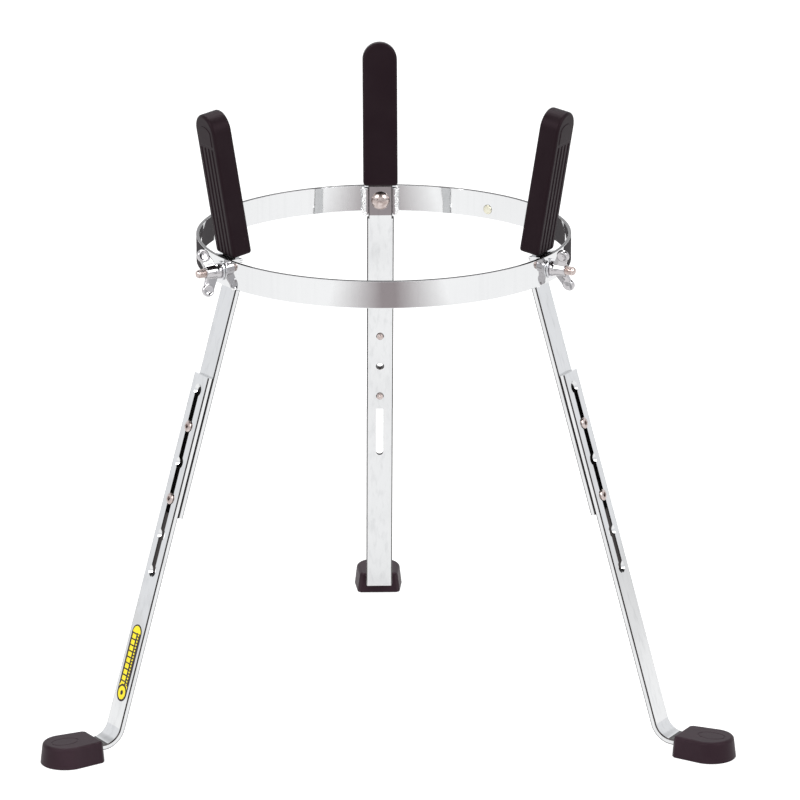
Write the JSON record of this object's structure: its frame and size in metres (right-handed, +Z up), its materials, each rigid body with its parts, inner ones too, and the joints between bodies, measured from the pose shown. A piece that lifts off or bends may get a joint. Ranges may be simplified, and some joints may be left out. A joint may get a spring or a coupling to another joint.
{
  "type": "conga basket stand",
  "caption": "Chromed basket stand for a conga: ring with clamped arms in rubber pads, wing nuts, slotted height-adjustable legs and rubber feet.",
  "frame": {"origin": "on the floor, on the axis of the ring, midway between the three feet", "axes": "+Z up along the ring's axis; +Y towards the back leg; +X towards the right-hand side, with the left and right legs in front"},
  "size_m": [0.6266, 0.5488, 0.5825],
  "materials": {
    "chrome_plate": "mirror-bright chrome plate on steel",
    "nickel": "warm nickel plate, slightly dulled",
    "steel": "bright zinc plate",
    "pad_rubber": "matte black moulded rubber",
    "foot_rubber": "satin dark rubber",
    "label_paper": "printed yellow label film"
  },
  "bodies": {
    "frame": {"ring": "chrome_plate", "ring_rivet": "nickel", "socket_back": "chrome_plate", "socket_left": "chrome_plate", "socket_right": "chrome_plate"},
    "upper_leg_back": {"upper_leg_back": "chrome_plate", "arm_pad_back": "pad_rubber", "carriage_bolt_back": "nickel"},
    "lower_leg_back": {"lower_leg_back": "chrome_plate", "foot_back": "foot_rubber"},
    "washer_back": {"washer_back": "steel"},
    "wing_nut_back": {"wing_nut_back": "chrome_plate"},
    "height_screw_back_high": {"height_screw_back_high": "steel"},
    "height_screw_back_low": {"height_screw_back_low": "steel"},
    "upper_leg_left": {"upper_leg_left": "chrome_plate", "arm_pad_left": "pad_rubber", "carriage_bolt_left": "nickel"},
    "lower_leg_left": {"lower_leg_left": "chrome_plate", "foot_left": "foot_rubber", "leg_label": "label_paper"},
    "washer_left": {"washer_left": "steel"},
    "wing_nut_left": {"wing_nut_left": "chrome_plate"},
    "height_screw_left_high": {"height_screw_left_high": "steel"},
    "height_screw_left_low": {"height_screw_left_low": "steel"},
    "upper_leg_right": {"upper_leg_right": "chrome_plate", "arm_pad_right": "pad_rubber", "carriage_bolt_right": "nickel"},
    "lower_leg_right": {"lower_leg_right": "chrome_plate", "foot_right": "foot_rubber"},
    "washer_right": {"washer_right": "steel"},
    "wing_nut_right": {"wing_nut_right": "chrome_plate"},
    "height_screw_right_high": {"height_screw_right_high": "steel"},
    "height_screw_right_low": {"height_screw_right_low": "steel"}
  },
  "joints": [
    {"name": "leg_release_back", "type": "slide", "parent": "frame", "child": "upper_leg_back", "axis": [0, -1, 0], "range_m": [0, 0.04]},
    {"name": "leg_height_back", "type": "slide", "parent": "upper_leg_back", "child": "lower_leg_back", "axis": [0, -0.289, 0.9573], "range_m": [-0.0338, 0.0676]},
    {"name": "washer_slide_back", "type": "slide", "parent": "frame", "child": "washer_back", "axis": [0, 1, 0], "range_m": [0, 0.01001]},
    {"name": "wing_nut_turn_back", "type": "hinge", "parent": "washer_back", "child": "wing_nut_back", "pos_m": [0, 0.18, 0.4345], "axis": [0, 1, 0], "range_deg": [0, 2880]},
    {"name": "screw_turn_back_high", "type": "hinge", "parent": "upper_leg_back", "child": "height_screw_back_high", "pos_m": [0, 0.19979, 0.29333], "axis": [0, 0.9573, 0.289], "range_deg": [0, 360]},
    {"name": "screw_turn_back_low", "type": "hinge", "parent": "upper_leg_back", "child": "height_screw_back_low", "pos_m": [0, 0.21933, 0.22861], "axis": [0, 0.9573, 0.289], "range_deg": [0, 360]},
    {"name": "leg_release_left", "type": "slide", "parent": "frame", "child": "upper_leg_left", "axis": [0.866, 0.5, 0], "range_m": [0, 0.04]},
    {"name": "leg_height_left", "type": "slide", "parent": "upper_leg_left", "child": "lower_leg_left", "axis": [0.2503, 0.1445, 0.9573], "range_m": [-0.0338, 0.0676]},
    {"name": "washer_slide_left", "type": "slide", "parent": "frame", "child": "washer_left", "axis": [-0.866, -0.5, 0], "range_m": [0, 0.01001]},
    {"name": "wing_nut_turn_left", "type": "hinge", "parent": "washer_left", "child": "wing_nut_left", "pos_m": [-0.15588, -0.09, 0.4345], "axis": [-0.866, -0.5, 0], "range_deg": [0, 2880]},
    {"name": "screw_turn_left_high", "type": "hinge", "parent": "upper_leg_left", "child": "height_screw_left_high", "pos_m": [-0.17303, -0.0999, 0.29333], "axis": [-0.8291, -0.4787, 0.289], "range_deg": [0, 360]},
    {"name": "screw_turn_left_low", "type": "hinge", "parent": "upper_leg_left", "child": "height_screw_left_low", "pos_m": [-0.18995, -0.10967, 0.22861], "axis": [-0.8291, -0.4787, 0.289], "range_deg": [0, 360]},
    {"name": "leg_release_right", "type": "slide", "parent": "frame", "child": "upper_leg_right", "axis": [-0.866, 0.5, 0], "range_m": [0, 0.04]},
    {"name": "leg_height_right", "type": "slide", "parent": "upper_leg_right", "child": "lower_leg_right", "axis": [-0.2503, 0.1445, 0.9573], "range_m": [-0.0338, 0.0676]},
    {"name": "washer_slide_right", "type": "slide", "parent": "frame", "child": "washer_right", "axis": [0.866, -0.5, 0], "range_m": [0, 0.01001]},
    {"name": "wing_nut_turn_right", "type": "hinge", "parent": "washer_right", "child": "wing_nut_right", "pos_m": [0.15588, -0.09, 0.4345], "axis": [0.866, -0.5, 0], "range_deg": [0, 2880]},
    {"name": "screw_turn_right_high", "type": "hinge", "parent": "upper_leg_right", "child": "height_screw_right_high", "pos_m": [0.17303, -0.0999, 0.29333], "axis": [0.8291, -0.4787, 0.289], "range_deg": [0, 360]},
    {"name": "screw_turn_right_low", "type": "hinge", "parent": "upper_leg_right", "child": "height_screw_right_low", "pos_m": [0.18995, -0.10967, 0.22861], "axis": [0.8291, -0.4787, 0.289], "range_deg": [0, 360]}
  ],
  "couplings": [
    {"joint": "washer_slide_back", "follows": "wing_nut_turn_back", "m_per_rad": 0.00019894},
    {"joint": "washer_slide_left", "follows": "wing_nut_turn_left", "m_per_rad": 0.00019894},
    {"joint": "washer_slide_right", "follows": "wing_nut_turn_right", "m_per_rad": 0.00019894}
  ]
}
